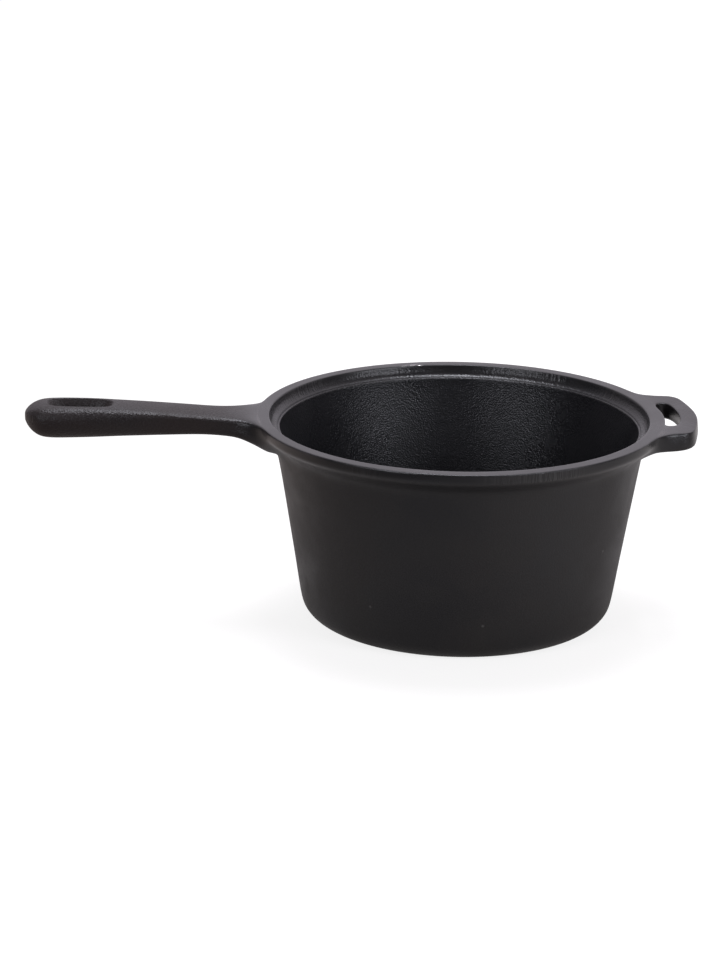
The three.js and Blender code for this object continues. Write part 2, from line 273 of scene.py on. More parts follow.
def push_out(faces, region):
    before = set(casting.faces)
    made = bmesh.ops.extrude_face_region(casting, geom=faces)["geom"]
    for face in set(casting.faces) - before:
        face[region_layer] = region
    bmesh.ops.delete(casting, geom=faces, context="FACES")
    cap = [part for part in made if isinstance(part, bmesh.types.BMFace)]
    return points_in(made), cap


# %% [markdown]
# ## The long handle
# It leaves the rim in a wide, deep flare, narrows to a neck, swells into the grip and ends round.
# The sizes along it follow the solids: half width, top and bottom at a distance from the bowl's axis.

# %% Sizes of the long handle
grip_low, grip_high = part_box("handle_grip")
neck_low, neck_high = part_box("handle_neck")
neck_at = -grip_high.x
tip_at = -grip_low.x
END_LENGTH = 14 * MM
end_at = tip_at - END_LENGTH
NECK_HALF_WIDTH = 14.2 * MM
NECK_THICKNESS = 10.9 * MM
FLARE_RADIUS = 42 * MM
FLARE_LENGTH = 30 * MM
ROOT_SWEEP = 14 * MM
TIP_RISE = 2 * MM


def share(value, low, high):
    return min(max((value - low) / (high - low), 0), 1)


def smooth(value):
    return value * value * (3 - 2 * value)


def mix(low, high, amount):
    return low + (high - low) * amount


def handle_half_width(distance):
    swell = smooth(share(distance, neck_at, end_at))
    into_flare = min(max(rim_radius + FLARE_LENGTH - distance, 0), FLARE_RADIUS)
    flare = FLARE_RADIUS - math.sqrt(FLARE_RADIUS ** 2 - into_flare ** 2)
    return mix(NECK_HALF_WIDTH, grip_high.y, swell) + flare


def handle_top(distance):
    rise = (neck_high.z - rim_top) * share(distance, rim_radius, neck_at)
    return rim_top + mix(rise, grip_high.z - rim_top,
                         math.sin(math.pi / 2 * share(distance, neck_at, end_at)))


def handle_bottom(distance):
    sweep = smooth(share(distance, rim_radius - RIM_WIDTH / 2, rim_radius + ROOT_SWEEP))
    root = mix(neck_low.z, neck_high.z - NECK_THICKNESS, sweep)
    return mix(root, grip_low.z, share(distance, neck_at, end_at))


print(f"handle: neck at {neck_at / MM:.0f} mm, tip at {tip_at / MM:.0f} mm from the axis")

# %% [markdown]
# The flare is deeper than the rim band and wider than the four columns that it grows from. So the
# rows under the band are first drawn down there, and the outer columns are turned a little outwards.

# %% Make room for the flare
HALF_TURN = COLUMNS // 2
HANDLE_SPAN = 2
FAR_FLARE_TURN = math.radians(2.3)
NEAR_FLARE_TURN = math.radians(0.8)
handle_columns = [HALF_TURN + offset for offset in range(-HANDLE_SPAN, HANDLE_SPAN + 1)]
flare_drop = {
    row["wall_top"]: 1.6 * MM,
    row["ridge_foot"]: 4 * MM,
    row["ridge"]: 4.6 * MM,
    row["cove"]: 5.2 * MM,
    row["cove_top"]: 7.4 * MM,
    row["underside"]: 8.6 * MM,
}


def draw_down(columns, amount):
    for vert in casting.verts:
        if vert[column_layer] in columns:
            vert.co.z -= flare_drop.get(vert[row_layer], 0) * amount


draw_down(handle_columns, 1)
for vert in casting.verts:
    offset = vert[column_layer] - HALF_TURN
    level = vert[row_layer]
    if abs(offset) == HANDLE_SPAN and row["ridge_foot"] <= level <= row["top_outer"]:
        turn = -FAR_FLARE_TURN if offset < 0 else NEAR_FLARE_TURN
        vert.co = Matrix.Rotation(turn, 3, "Z") @ vert.co
print(f"the flare grows from {2 * HANDLE_SPAN} columns of the rim")

# %% [markdown]
# Across, the handle has an arched top, a ridge on each side, steep sides and a round belly. Each of
# these has one size at the root, one at the neck and one at the grip, in millimetres, and changes
# smoothly between.
# The photograph shows the near shoulder of the flare dressed back further than the far one.

# %% Place a ring of the long handle
GRIP_WEAR = 0.5
BLEND_LENGTH = 16 * MM
SHOULDER_CUT = 5 * MM
SHOULDER_AT = rim_radius + 5 * MM
SHOULDER_LENGTH = 20 * MM


def along_handle(distance, root, neck, grip):
    if distance < neck_at:
        return mix(root, neck, smooth(share(distance, rim_radius, neck_at))) * MM
    return mix(neck, grip, smooth(share(distance, neck_at, end_at))) * MM


def place_handle_ring(ring, distance, drawn_in, bulge):
    at = min(distance, end_at)
    half = handle_half_width(at) * drawn_in
    top = handle_top(at) + along_handle(at, 0.9, 1.4, 1)
    bottom = handle_bottom(at) - along_handle(at, 1.7, 0.6, 0.5)
    middle = (top + bottom) / 2 + TIP_RISE * (1 - drawn_in)
    up = (top - bottom) / 2 * drawn_in
    arch = along_handle(at, 0.3, 0.9, 0.6) * drawn_in
    ridge_drop = along_handle(at, 1.8, 2.6, 3.4) * drawn_in
    heights = {TOP: up, EDGE: up - ridge_drop, SIDE: 0.1 * up, FOOT: -0.62 * up, UNDER: -up}
    insets = {
        TOP: along_handle(at, 2.5, 2.6, 5.2),
        EDGE: along_handle(at, 0.6, 0.4, 1.5),
        SIDE: along_handle(at, 0, 1.1, 0.7),
        FOOT: along_handle(at, -1.5, 1.8, 2),
        UNDER: along_handle(at, 1, 3.4, 6),
    }
    shoulder = SHOULDER_CUT * smooth(1 - share(abs(at - SHOULDER_AT), 0, SHOULDER_LENGTH))
    shoulder_share = {TOP: 1, EDGE: 0.95, SIDE: 1.05, FOOT: 1.1, UNDER: 0.9}
    for vert in ring:
        level = vert[row_layer]
        offset = (HALF_TURN - vert[column_layer]) / HANDLE_SPAN
        wide = (half - insets[level] * drawn_in) * offset
        if offset < 0:
            wide -= shoulder * shoulder_share[level] * offset
        inside = 1 - abs(offset) if UNDER < level < TOP else 0
        height = middle + heights[level]
        if level == TOP:
            height -= arch * offset ** 2
        vert.co = (-distance - bulge * inside, wide, height)
        at_edge = level in (EDGE, TOP) and abs(offset) == 1
        vert[wear_layer] = GRIP_WEAR if at_edge else 0
        vert[grip_layer] = share(distance, rim_radius, rim_radius + BLEND_LENGTH)


# %% Grow the long handle
SLOT_LENGTH = 36 * MM
SLOT_TO_TIP = 13 * MM
slot_end = tip_at - SLOT_TO_TIP
slot_start = slot_end - SLOT_LENGTH
ROOT_RINGS = 5
NECK_RINGS = 3
SLOT_RINGS = 4
first_ring = rim_radius + 3 * MM
ring_distances = []
for number in range(ROOT_RINGS):
    ring_distances.append(mix(first_ring, neck_at, number / (ROOT_RINGS - 1)))
for number in range(1, NECK_RINGS):
    ring_distances.append(mix(neck_at, slot_start, number / NECK_RINGS))
for number in range(SLOT_RINGS + 1):
    ring_distances.append(mix(slot_start, slot_end, number / SLOT_RINGS))

cap = band_faces(handle_columns)
for distance in ring_distances:
    ring, cap = push_out(cap, HANDLE)
    place_handle_ring(ring, distance, 1, 0)
round_end = ((6.5 * MM, 0.92, 0), (11.5 * MM, 0.62, 0), (END_LENGTH, 0.27, 0.3 * MM))
for beyond, drawn_in, bulge in round_end:
    ring, cap = push_out(cap, HANDLE)
    place_handle_ring(ring, end_at + beyond, drawn_in, bulge)
print(len(ring_distances) + len(round_end), "rings along the long handle")

# %% [markdown]
# The ridges are sharpest at the neck and soft on the grip. A crease on an edge of the cage keeps
# Subdivision Surface from rounding it fully, so no extra points are needed.

# %% Sharpen the ridges at the neck
NECK_CREASE = 0.38
SHARP_FROM = rim_radius + 8 * MM
SHARP_TO = neck_at + 20 * MM


def crease(edges, amount):
    for edge in edges:
        edge[crease_layer] = amount


def on_row(edge, level):
    return all(vert[row_layer] == level for vert in edge.verts)


ridges = []
for edge in casting.edges:
    outermost = all(abs(vert[column_layer] - HALF_TURN) == HANDLE_SPAN for vert in edge.verts)
    at_neck = all(SHARP_FROM < -vert.co.x < SHARP_TO for vert in edge.verts)
    if outermost and at_neck and on_row(edge, EDGE):
        ridges.append(edge)
crease(ridges, NECK_CREASE)
print(len(ridges), "edges on the ridges of the neck")

# %% [markdown]
# ## The hanging slot
# The slot through the grip has a dished mouth above and below. The faces over it are inset for a
# crisp edge and pushed in to make the dish, and then the two dishes are bridged.

# %% Cut the hanging slot
MOUTH_LENGTH = 40 * MM
MOUTH_HALF_WIDTH = 9 * MM
HOLE_LENGTH = 29 * MM
HOLE_HALF_WIDTH = 6.4 * MM
DISH_DEPTH = 4.5 * MM
SLOT_EDGE = 0.6 * MM
MOUTH_CREASE = 0.35
CORNER_ALONG = 0.92
CORNER_ACROSS = 0.76
slot_middle = (slot_start + slot_end) / 2


def slot_faces(level):
    found = []
    for face in casting.faces:
        along = -face.calc_center_median().x
        across = max(abs(vert[column_layer] - HALF_TURN) for vert in face.verts)
        on_level = all(vert[row_layer] == level for vert in face.verts)
        if on_level and across < HANDLE_SPAN and slot_start < along < slot_end:
            found.append(face)
    return found


def round_slot(verts, length, half_width, sink):
    for vert in verts:
        along = (-vert.co.x - slot_middle) / (SLOT_LENGTH / 2)
        across = vert.co.y / MOUTH_HALF_WIDTH
        at_end = abs(along) > 0.8
        at_side = abs(across) > 0.2
        x = math.copysign(min(abs(along), 1), along) * length / 2
        y = math.copysign(half_width, across) if at_side else 0
        if at_end and at_side:
            x *= CORNER_ALONG
            y *= CORNER_ACROSS
        vert.co = (-slot_middle - x, y, vert.co.z + sink)


hole = []
for level, sink in ((TOP, -DISH_DEPTH), (UNDER, DISH_DEPTH)):
    mouth = slot_faces(level)
    round_slot({vert for face in mouth for vert in face.verts}, MOUTH_LENGTH, MOUTH_HALF_WIDTH, 0)
    around = {edge for face in mouth for edge in face.edges}
    crease([edge for edge in around if not all(face in mouth for face in edge.link_faces)], MOUTH_CREASE)
    bmesh.ops.inset_region(casting, faces=mouth, thickness=SLOT_EDGE, use_even_offset=True)
    ring, dish = push_out(mouth, HANDLE)
    round_slot(ring, HOLE_LENGTH, HOLE_HALF_WIDTH, sink)
    hole += dish
bmesh.ops.delete(casting, geom=hole, context="FACES")
rims = [edge for edge in casting.edges if edge.is_boundary]
walls = bmesh.ops.bridge_loops(casting, edges=rims)["faces"]
for face in walls:
    face[region_layer] = HANDLE
print(len(walls), "walls in the hanging slot")

# %% [markdown]
# ## The helper handle
# Opposite the long handle, two short legs grow out of the rim and a bar joins them, so a cloth or
# a hook goes through the slot between bar and rim. The legs are pushed out like the long handle,
# and then their facing sides are bridged.

# %% Sizes of the helper handle
helper_low, helper_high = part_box("helper_handle")
HELPER_END_RADIUS = 85 * MM
HELPER_BAR_WIDTH = 11.4 * MM
HELPER_HALF_WIDTH = 41.5 * MM
SLOT_HALF_LENGTH = 22.5 * MM
HELPER_EDGE = 0.35 * MM
HELPER_DRAFT = 0.7 * MM
HELPER_WEAR = 0.3
HELPER_GRIP = 0.35
HELPER_SHIFT = 0.7 * MM
SLOT_SHIFT = 1.6 * MM
ROOT_DROP = 0.7 * MM
END_DROP = -0.5 * MM
end_centre = helper_high.x - HELPER_END_RADIUS
LEG = (2, 3, 4)


def end_curve(radius, across):
    return end_centre + math.sqrt(radius ** 2 - across ** 2)


def outer_curve(across):
    return end_curve(HELPER_END_RADIUS, across)


def slot_curve(across):
    return end_curve(HELPER_END_RADIUS - HELPER_BAR_WIDTH, across)


# %% [markdown]
# Each leg has three columns of points. A plan gives, for each of them, the place along and across
# the pan, and then which way its edges are drawn in, along and across.

# %% Plan the legs
half_height = (helper_high.z - helper_low.z) / 2
helper_middle = (helper_high.z + helper_low.z) / 2
helper_heights = {
    TOP: half_height,
    EDGE: half_height - HELPER_EDGE,
    SIDE: 0.35 * half_height,
    FOOT: -0.6 * half_height,
    UNDER: -half_height,
}
draft_shares = {TOP: 1, EDGE: 1, SIDE: 0.65, FOOT: 0.1, UNDER: 0.3}
ROOT_SHARE = (0.05, 0.42, 0.42)
slot_corner = SLOT_HALF_LENGTH + 1 * MM
slot_plan = (
    (slot_curve(slot_corner) + 1 * MM, slot_corner, 0.7, 0.7),
    (rim_radius + 5 * MM, 32 * MM, 0, 0),
    (rim_radius + 2 * MM, HELPER_HALF_WIDTH - 0.7 * MM, 0, -2.4),
)
end_plan = (
    (outer_curve(slot_corner) + 0.6 * MM, slot_corner, -1, 0),
    (outer_curve(33 * MM) + 1.8 * MM, 34.6 * MM, -0.9, -0.8),
    (rim_radius + 10 * MM, HELPER_HALF_WIDTH - 1 * MM, -0.7, -1.8),
)


def place_helper_ring(ring, plan, side, drop, opening):
    for vert in ring:
        column = vert[column_layer] * side % COLUMNS
        x, y, inset_x, inset_y = plan[LEG.index(column)]
        level = vert[row_layer]
        inset = (HELPER_EDGE if level in (TOP, UNDER) else 0) + HELPER_DRAFT * draft_shares[level]
        height = helper_middle + helper_heights[level]
        if level in (FOOT, UNDER):
            height -= drop
        shift = HELPER_SHIFT
        if column == LEG[0]:
            shift = SLOT_SHIFT
            x += opening.get(level, 0)
            y += opening.get(level, 0) / 2
        vert.co = (x + inset * inset_x, side * (y + inset * inset_y) + shift, height)
        vert[wear_layer] = HELPER_WEAR if level in (EDGE, TOP) else 0
        vert[grip_layer] = HELPER_GRIP * share(math.hypot(x, y), rim_radius, rim_radius + BLEND_LENGTH)


# %% [markdown]
# The helper, too, sits a little off: it and its slot lie about a millimetre towards the far side.
# The slot opens downwards, as the pattern has to come out of the sand.

# %% Make room for the slot
slot_turn = Matrix.Rotation(SLOT_SHIFT / rim_radius, 3, "Z")
moved = 0
for vert in casting.verts:
    beside_slot = vert[column_layer] in (LEG[0], COLUMNS - LEG[0])
    if beside_slot and row["cove"] <= vert[row_layer] <= row["top_outer"]:
        vert.co = slot_turn @ vert.co
        moved += 1
print(moved, "points of the rim moved with the slot")

# %% Grow the helper's legs
slot_opening = {SIDE: 0.5 * MM, FOOT: 1.5 * MM, UNDER: 2.4 * MM}
for side in (1, -1):
    for column, amount in zip(LEG, ROOT_SHARE):
        draw_down([column * side % COLUMNS], amount)
    cap = band_faces([column * side % COLUMNS for column in LEG])
    slot_ring, cap = push_out(cap, HELPER)
    place_helper_ring(slot_ring, slot_plan, side, ROOT_DROP, slot_opening)
    end_ring, cap = push_out(cap, HELPER)
    place_helper_ring(end_ring, end_plan, side, END_DROP, {})
    leg = set(slot_ring + end_ring)
    inner = LEG[0] * side % COLUMNS
    facing = [face for face in casting.faces
              if all(vert in leg and vert[column_layer] == inner for vert in face.verts)]
    print(len(leg), "points on a leg,", len(facing), "faces opened for the bar")
    bmesh.ops.delete(casting, geom=facing, context="FACES")

# %% Join the legs with a bar
BAR_CUTS = 3
BAR_SAG = 2 * MM
rims = [edge for edge in casting.edges if edge.is_boundary]
bar = bmesh.ops.bridge_loops(casting, edges=rims)
for face in bar["faces"]:
    face[region_layer] = HELPER
print(len(bar["faces"]), "sides on the bar")
split = bmesh.ops.subdivide_edges(casting, edges=bar["edges"], cuts=BAR_CUTS, use_grid_fill=True)
outer_side = helper_high.x - HELPER_BAR_WIDTH / 2 - BAR_SAG
for vert in points_in(split["geom_inner"]):
    curve = outer_curve if vert.co.x > outer_side else slot_curve
    vert.co.x += curve(vert.co.y) - curve(slot_corner)

# %% Sharpen the helper's upper edge
HELPER_CREASE = 0.3
upper = []
for edge in casting.edges:
    on_helper = any(face[region_layer] == HELPER for face in edge.link_faces)
    if on_helper and on_row(edge, TOP):
        upper.append(edge)
crease(upper, HELPER_CREASE)
print(len(upper), "edges on top of the helper")

# %% Widen the rim beside the helper's slot
SLOT_RIM_SWELL = 1.2 * MM
for vert in casting.verts:
    offset = (vert[column_layer] + HALF_TURN) % COLUMNS - HALF_TURN
    on_rim = vert.co.x < rim_radius * roundness + SAME_POINT
    if on_rim and abs(offset) < LEG[0] and FOOT <= vert[row_layer] <= TOP:
        vert.co.x += SLOT_RIM_SWELL
print(len(casting.faces), "faces in the whole cage")
print(sum(not edge.is_manifold for edge in casting.edges), "open edges")

# %% [markdown]
# ## Rounding the cage and cutting it into its named parts
# Subdivision Surface turns the cage into the smooth skin. The library keeps the pan as parts that
# can be told apart, so the skin is then cut into bowl, rim, long handle and helper handle. Each part
# is closed inside the iron, and all of them keep the normals of the whole skin, so no seam shows.

# %% Round the casting
def new_object(name, data):
    made = bpy.data.objects.new(name, data)
    scene.collection.objects.link(made)
    return made


bmesh.ops.recalc_face_normals(casting, faces=casting.faces)
cage_mesh = bpy.data.meshes.new("saucepan_cage")
casting.to_mesh(cage_mesh)
casting.free()
cage = new_object("saucepan_cage", cage_mesh)
rounding = cage.modifiers.new("rounding", "SUBSURF")
rounding.levels = 2
rounding.render_levels = 2
depsgraph = bpy.context.evaluated_depsgraph_get()
skin = bpy.data.meshes.new_from_object(cage.evaluated_get(depsgraph))
bpy.data.objects.remove(cage)
print(len(skin.polygons), "faces in the rounded skin")

# %% Close a part where it was cut
CUT_RADIUS = 110 * MM


def cut_of(edge):
    middle = (edge.verts[0].co + edge.verts[1].co) / 2
    if math.hypot(middle.x, middle.y) < CUT_RADIUS:
        return "wall"
    if middle.x < 0:
        return "handle"
    return "far leg" if middle.y > 0 else "near leg"


def close_cuts(part):
    cuts = {}
    for edge in part.edges:
        if edge.is_boundary:
            cuts.setdefault(cut_of(edge), []).append(edge)
    for name, edges in cuts.items():
        if name == "wall":
            bmesh.ops.bridge_loops(part, edges=edges)
            continue
        loop = {vert for edge in edges for vert in edge.verts}
        middle = sum((vert.co for vert in loop), Vector()) / len(loop)
        made = bmesh.ops.extrude_edge_only(part, edges=edges)["geom"]
        bmesh.ops.pointmerge(part, verts=points_in(made), merge_co=middle)
    bmesh.ops.recalc_face_normals(part, faces=part.faces)


# %% Cut the skin into parts
def part_of_skin(name, region):
    part = bmesh.new()
    part.from_mesh(skin)
    kept_normal = part.verts.layers.float_vector.new("kept_normal")
    for vert in part.verts:
        vert[kept_normal] = vert.normal
    layer = part.faces.layers.int["region"]
    others = [face for face in part.faces if face[layer] != region]
    bmesh.ops.delete(part, geom=others, context="FACES")
    close_cuts(part)
    open_edges = sum(not edge.is_manifold for edge in part.edges)
    mesh = bpy.data.meshes.new(name)
    part.to_mesh(mesh)
    part.free()
    mesh.shade_smooth()
    normals = [item.vector.copy() for item in mesh.attributes["kept_normal"].data]
    mesh.normals_split_custom_set_from_vertices(normals)
    for helper in ("kept_normal", "row", "column", "region"):
        mesh.attributes.remove(mesh.attributes[helper])
    piece = new_object(name, mesh)
    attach(piece, "root")
    print(name, len(mesh.polygons), "faces,", open_edges, "open edges")
    return piece


bowl = part_of_skin("bowl", BOWL)
rim = part_of_skin("rim", RIM)
long_handle = part_of_skin("long_handle", HANDLE)
helper_handle = part_of_skin("helper_handle_loop", HELPER)
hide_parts("pan_floor", "base_corner", "side_wall")
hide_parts("lid_seat", "rim_band")
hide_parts("handle_neck", "handle_grip")
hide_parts("helper_handle")

# %% [markdown]
# ## Finishes
# Cast iron looks nearly black, but it is never one colour: the sand leaves grain and pebbles, oil
# burnt onto the iron leaves soft brown and grey patches, and edges rub paler. Each of these effects
# is a node group, so every finish can use it with its own values. All of them read Object
# coordinates in metres, so a size in a pattern is a real size.

# %% Add and wire nodes
def add(tree, kind, values=None, **settings):
    node = tree.nodes.new(kind)
    for setting, value in settings.items():
        setattr(node, setting, value)
    for socket, value in (values or {}).items():
        node.inputs[socket].default_value = value
    return node


def wire(tree, output, socket):
    tree.links.new(output, socket)


def feed(tree, value, socket):
    if isinstance(value, bpy.types.NodeSocket):
        wire(tree, value, socket)
    else:
        socket.default_value = value


def split_axes(tree, vector):
    node = add(tree, "ShaderNodeSeparateXYZ")
    wire(tree, vector, node.inputs["Vector"])
    return node.outputs


# %% Short ways to common nodes
def math_node(tree, operation, first, second=0.0):
    node = add(tree, "ShaderNodeMath", operation=operation)
    feed(tree, first, node.inputs[0])
    feed(tree, second, node.inputs[1])
    return node.outputs["Value"]


def times(tree, first, second):
    return math_node(tree, "MULTIPLY", first, second)


def plus(tree, first, second):
    return math_node(tree, "ADD", first, second)


def remap(tree, value, low, high, to_low=0.0, to_high=1.0):
    node = add(tree, "ShaderNodeMapRange", {"From Min": low, "From Max": high,
                                            "To Min": to_low, "To Max": to_high})
    wire(tree, value, node.inputs["Value"])
    return node.outputs["Result"]


def noise(tree, place, size, detail, roughness=0.5, distortion=0.0):
    node = add(tree, "ShaderNodeTexNoise", {"Detail": detail, "Roughness": roughness,
                                            "Distortion": distortion})
    wire(tree, place, node.inputs["Vector"])
    feed(tree, size, node.inputs["Scale"])
    return node.outputs["Fac"]


# A Mix node has sockets for several kinds of data under the same names, so colours go by number.
COLOUR_A, COLOUR_B, COLOUR_RESULT = 6, 7, 2


def mix_colour(tree, amount, first, second):
    node = add(tree, "ShaderNodeMix", data_type="RGBA")
    wire(tree, amount, node.inputs["Factor"])
    for number, value in ((COLOUR_A, first), (COLOUR_B, second)):
        feed(tree, (*value, 1) if isinstance(value, tuple) else value, node.inputs[number])
    return node.outputs[COLOUR_RESULT]


# %% Start a node group
def new_group(name, inputs, outputs):
    group = bpy.data.node_groups.new(name, "ShaderNodeTree")
    group.interface.new_socket("Place", in_out="INPUT", socket_type="NodeSocketVector")
    for socket in inputs:
        group.interface.new_socket(socket, in_out="INPUT", socket_type="NodeSocketFloat")
    for socket in outputs:
        group.interface.new_socket(socket, in_out="OUTPUT", socket_type="NodeSocketFloat")
    entry = group.nodes.new("NodeGroupInput")
    result = group.nodes.new("NodeGroupOutput")
    return group, entry.outputs, result.inputs


def use_group(tree, group, place, **values):
    node = add(tree, "ShaderNodeGroup", node_tree=group)
    wire(tree, place, node.inputs["Place"])
    for socket, value in values.items():
        feed(tree, value, node.inputs[socket])
    return node.outputs


# %% [markdown]
# The sand mould leaves a grain of two sizes on the outside. Inside, a coarser coating on the core
# leaves pebbles about a millimetre across. Voronoi cells, smoothed, are such pebbles, and a
# little noise bends their places so that they don't look like a honeycomb.

# %% Sand grain
FINER_STEP = 2.6
FINE_SHARE = 0.45
grain_group, entry, result = new_group("sand grain", ["Fineness"], ["Height"])
coarse = noise(grain_group, entry["Place"], entry["Fineness"], 2)
finer = times(grain_group, entry["Fineness"], FINER_STEP)
fine = noise(grain_group, entry["Place"], finer, 2)
fine_share = times(grain_group, fine, FINE_SHARE)
wire(grain_group, plus(grain_group, coarse, fine_share), result["Height"])

# %% Pebbles
BENDS_PER_METRE = 900
BEND_LENGTHS = (0.5 * MM, 0.5 * MM, 0.4 * MM)
LUMPS_PER_METRE = 260
LUMP_SHARE = 0.4
pebble_group, entry, result = new_group("pebbles", ["Fineness"], ["Height"])
bend = add(pebble_group, "ShaderNodeTexNoise", {"Scale": BENDS_PER_METRE, "Detail": 1})
wire(pebble_group, entry["Place"], bend.inputs["Vector"])
shift = add(pebble_group, "ShaderNodeVectorMath", operation="MULTIPLY_ADD")
wire(pebble_group, bend.outputs["Color"], shift.inputs[0])
shift.inputs[1].default_value = BEND_LENGTHS
wire(pebble_group, entry["Place"], shift.inputs[2])
cells = add(pebble_group, "ShaderNodeTexVoronoi", {"Smoothness": 0.5}, feature="SMOOTH_F1")
wire(pebble_group, shift.outputs["Vector"], cells.inputs["Vector"])
wire(pebble_group, entry["Fineness"], cells.inputs["Scale"])
lumps = noise(pebble_group, entry["Place"], LUMPS_PER_METRE, 2)
lump_share = times(pebble_group, lumps, LUMP_SHARE)
rounded = math_node(pebble_group, "SUBTRACT", 1.0, cells.outputs["Distance"])
wire(pebble_group, plus(pebble_group, rounded, lump_share), result["Height"])

# %% [markdown]
# Oil burnt onto the iron leaves broad soft patches. A few grains of sand or dust stay in the skin as
# tiny pale specks: the cells of a Voronoi pattern whose random value is high, and only their middles.

# %% Seasoning, specks and wear
PATCHES_PER_METRE = 22
SPECKS_PER_METRE = 130
RUBS_PER_METRE = 520
RUB_PATCHES = 60
season_group, entry, result = new_group("seasoning", [], ["Patches", "Specks"])
broad = noise(season_group, entry["Place"], PATCHES_PER_METRE, 3, 0.6, 0.4)
wire(season_group, remap(season_group, broad, 0.36, 0.64), result["Patches"])
dust = add(season_group, "ShaderNodeTexVoronoi", {"Scale": SPECKS_PER_METRE})
wire(season_group, entry["Place"], dust.inputs["Vector"])
pick = add(season_group, "ShaderNodeSeparateColor")
wire(season_group, dust.outputs["Color"], pick.inputs["Color"])
picked = remap(season_group, pick.outputs["Red"], 0.975, 0.98)
middle = remap(season_group, dust.outputs["Distance"], 0.14, 0.05)
wire(season_group, times(season_group, picked, middle), result["Specks"])

wear_group, entry, result = new_group("edge wear", ["Wear"], ["Mask"])
rub = noise(wear_group, entry["Place"], RUBS_PER_METRE, 3, 0.65)
rub_patch = noise(wear_group, entry["Place"], RUB_PATCHES, 2)
uneven = plus(wear_group, rub, rub_patch)
rubbed = times(wear_group, uneven, entry["Wear"])
wire(wear_group, remap(wear_group, rubbed, 0.45, 1.0), result["Mask"])

# %% [markdown]
# After casting, the rim was ground. The wheel left upright scratches on the band, most of all in one
# stretch at the front. A radial gradient gives the turn round the bowl's axis, from 0 to 1, and noise
# stretched along the height does the rest.

# %% Grinding marks
GROUND_STRETCH = 0.305
SCRATCHES_ROUND = 420
SCRATCHES_UP = 60
grind_group, entry, result = new_group("grinding marks", [], ["Marks"])
round_axis = add(grind_group, "ShaderNodeTexGradient", gradient_type="RADIAL")
wire(grind_group, entry["Place"], round_axis.inputs["Vector"])
height = split_axes(grind_group, entry["Place"])["Z"]
stretched = add(grind_group, "ShaderNodeCombineXYZ")
scratch_round = times(grind_group, round_axis.outputs["Fac"], SCRATCHES_ROUND)
scratch_up = times(grind_group, height, SCRATCHES_UP)
wire(grind_group, scratch_round, stretched.inputs["X"])
wire(grind_group, scratch_up, stretched.inputs["Z"])
scratches = noise(grind_group, stretched.outputs["Vector"], 1, 2, 0.6)
uneven = noise(grind_group, entry["Place"], 24, 1)
patches = remap(grind_group, uneven, 0.5, 0.65, 0, 0.5)
from_stretch = math_node(grind_group, "SUBTRACT", round_axis.outputs["Fac"], GROUND_STRETCH)
apart = math_node(grind_group, "ABSOLUTE", from_stretch)
stretch = remap(grind_group, apart, 0.035, 0.012)
ground = math_node(grind_group, "MAXIMUM", patches, stretch)
marks = times(grind_group, remap(grind_group, scratches, 0.42, 0.62), ground)
above_foot = remap(grind_group, height, rim_top - 6.2 * MM, rim_top - 5.2 * MM)
below_top = remap(grind_group, height, rim_top - 0.2 * MM, rim_top - 0.6 * MM)
on_band = times(grind_group, above_foot, below_top)
wire(grind_group, times(grind_group, marks, on_band), result["Marks"])
print("node groups:", sorted(group.name for group in bpy.data.node_groups))

# %% [markdown]
# ## The three irons
# The record has three finishes: the bowl's, with its fine skin outside and pebbles inside, the rim's
# and the handles'. They share a start, and each adds what only it has. Grinding made the band and
# the tops smoother, and the skin under the band is as rough as the wall's.

# %% Start an iron
IRON_IOR = 1.45


def mark(tree, name):
    return add(tree, "ShaderNodeAttribute", attribute_name=name).outputs["Fac"]


def start_iron(name, black, brown, worn):
    material = bpy.data.materials.new(name)
    material.use_nodes = True
    tree = material.node_tree
    place = add(tree, "ShaderNodeTexCoord").outputs["Object"]
    season = use_group(tree, season_group, place)
    mask = use_group(tree, wear_group, place, Wear=mark(tree, "wear"))["Mask"]
    colour = mix_colour(tree, season["Patches"], black, brown)
    colour = mix_colour(tree, mask, colour, worn)
    shader = tree.nodes["Principled BSDF"]
    shader.inputs["IOR"].default_value = IRON_IOR
    return material, tree, place, season, mask, colour, shader


# %% Skin and roughness of an iron
WORN_POLISH = 0.1


def bump(tree, height, depth, normal=None):
    node = add(tree, "ShaderNodeBump", {"Strength": 1, "Distance": depth})
    wire(tree, height, node.inputs["Height"])
    if normal:
        wire(tree, normal, node.inputs["Normal"])
    return node.outputs["Normal"]


def grain_normal(tree, place, grains_per_metre, depth):
    height = use_group(tree, grain_group, place, Fineness=grains_per_metre)["Height"]
    return bump(tree, height, depth)


def pebble_normal(tree, place, amount, pebbles_per_metre, depth, normal):
    height = use_group(tree, pebble_group, place, Fineness=pebbles_per_metre)["Height"]
    return bump(tree, times(tree, height, amount), depth, normal)


def patchy_roughness(tree, season, mask, smooth_value, rough_value):
    burnt = remap(tree, season["Patches"], 0, 1, smooth_value, rough_value)
    polish = times(tree, mask, WORN_POLISH)
    return math_node(tree, "SUBTRACT", burnt, polish)


def below_band(tree, place):
    height = split_axes(tree, place)["Z"]
    return remap(tree, height, rim_top - 8 * MM, rim_top - 5 * MM, 1, 0)


